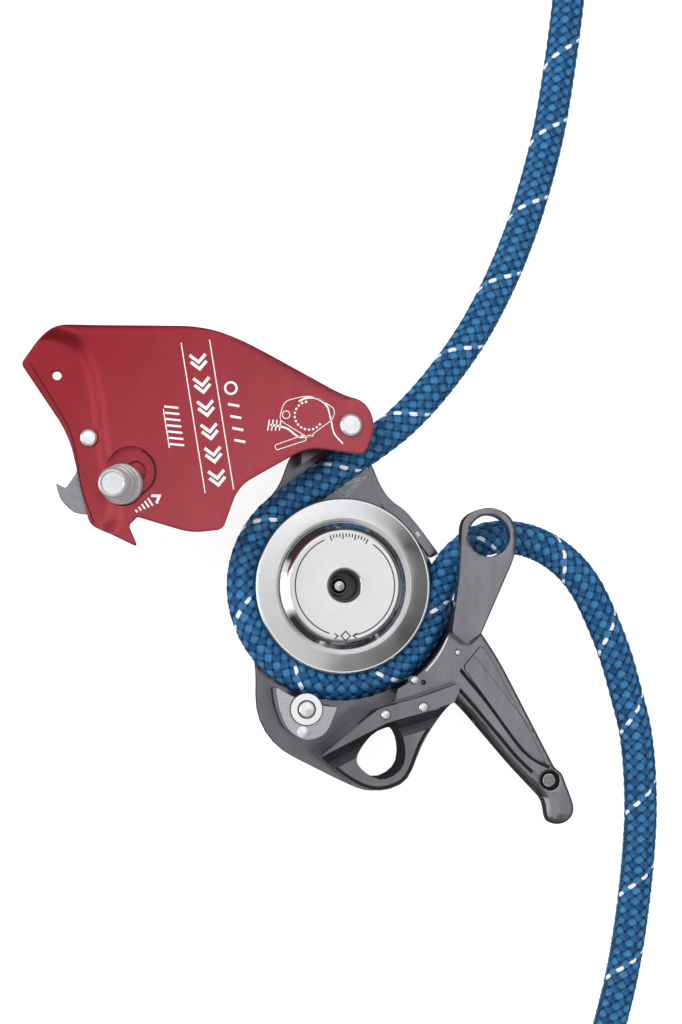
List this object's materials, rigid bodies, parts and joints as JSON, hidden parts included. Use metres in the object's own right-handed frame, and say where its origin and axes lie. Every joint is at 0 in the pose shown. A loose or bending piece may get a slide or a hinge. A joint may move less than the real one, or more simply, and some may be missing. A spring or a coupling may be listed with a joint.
{
  "type": "rope clutch",
  "caption": "Hand-held rope clutch, opened: one-way grooved sheave on a frame with a hinged side plate, latch, brake cam and control handle, threaded with kernmantle rope.",
  "frame": {"origin": "where the sheave's axis meets the surface that the rear cap rests on, at the middle of the rear cap's flat face", "axes": "+Z along the sheave's axis, from the rear cap towards the side plate; +X towards the handle's side, along the opened clutch's length; +Y from the carabiner eye towards the side plate's pivot"},
  "size_m": [0.2513, 0.6307, 0.0615],
  "materials": {
    "red_anodised": "satin red anodised",
    "black_anodised": "satin black anodised",
    "polished_steel": "polished stainless, turned",
    "plated_steel": "bright plated steel",
    "cast_steel": "fine cast and blasted",
    "bronze": "sintered bronze",
    "blue_rope": "braided kernmantle sheath, blue with white tracers",
    "dark_sleeve": "heat-shrunk sleeve"
  },
  "bodies": {
    "frame": {"back_plate": "black_anodised", "frame_block": "black_anodised", "becket_plate": "black_anodised", "becket_dowel": "plated_steel", "rope_guide_lug": "black_anodised", "ledge_pin_left": "plated_steel", "ledge_pin_right": "plated_steel", "guide_pin": "plated_steel", "set_screw": "plated_steel", "rear_screw_1": "plated_steel", "rear_screw_2": "plated_steel", "rear_screw_3": "plated_steel", "rear_screw_4": "plated_steel", "rear_cap": "polished_steel", "pivot_post": "plated_steel", "pivot_rivet": "plated_steel", "sheave_axle": "polished_steel", "axle_key_pin": "plated_steel", "axle_bush": "bronze", "retaining_ring": "polished_steel", "pawl_carrier": "cast_steel", "cam_pin": "plated_steel", "cam_washer": "plated_steel", "cam_spring": "polished_steel", "rope_load_strand": "blue_rope", "rope_hand_strand": "blue_rope", "rope_coil": "blue_rope", "rope_end_sleeve": "dark_sleeve"},
    "sheave": {"sheave_body": "polished_steel", "sheave_rear_flange": "polished_steel", "ratchet_ring": "cast_steel"},
    "pawl_right": {"pawl_right": "cast_steel"},
    "pawl_left": {"pawl_left": "cast_steel"},
    "brake_cam": {"brake_cam": "cast_steel"},
    "side_plate": {"side_plate": "red_anodised", "latch_rivet": "plated_steel"},
    "latch": {"latch_lever": "cast_steel", "latch_knob": "plated_steel", "latch_spring": "polished_steel"},
    "handle": {"handle_arm": "black_anodised", "handle_panel": "black_anodised", "handle_screw": "plated_steel", "handle_bush": "bronze", "handle_spring": "polished_steel"}
  },
  "joints": [
    {"name": "side_plate_swing", "type": "hinge", "parent": "frame", "child": "side_plate", "pos_m": [0.0012, 0.0605, 0.052], "axis": [0, 0, 1], "range_deg": [-35, 95]},
    {"name": "latch_release", "type": "hinge", "parent": "side_plate", "child": "latch", "pos_m": [-0.0974, 0.0562, 0.044], "axis": [0, 0, 1], "range_deg": [0, 17], "stiffness_Nm_per_rad": 0.15},
    {"name": "sheave_spin", "type": "hinge", "parent": "frame", "child": "sheave", "pos_m": [0, 0, 0.029], "axis": [0, 0, 1], "continuous": true},
    {"name": "handle_turn", "type": "hinge", "parent": "frame", "child": "handle", "pos_m": [0, 0, 0.008], "axis": [0, 0, 1], "range_deg": [-12, 105]},
    {"name": "brake_cam_swing", "type": "hinge", "parent": "frame", "child": "brake_cam", "pos_m": [-0.0149, -0.0471, 0.03], "axis": [0, 0, 1], "range_deg": [-6, 6], "stiffness_Nm_per_rad": 0.2},
    {"name": "pawl_right_lift", "type": "hinge", "parent": "frame", "child": "pawl_right", "pos_m": [0.0135, 0, 0.029], "axis": [0, 0, 1], "range_deg": [-15, 6], "stiffness_Nm_per_rad": 0.01},
    {"name": "pawl_left_lift", "type": "hinge", "parent": "frame", "child": "pawl_left", "pos_m": [-0.0135, 0, 0.029], "axis": [0, 0, 1], "range_deg": [-15, 6], "stiffness_Nm_per_rad": 0.01}
  ]
}
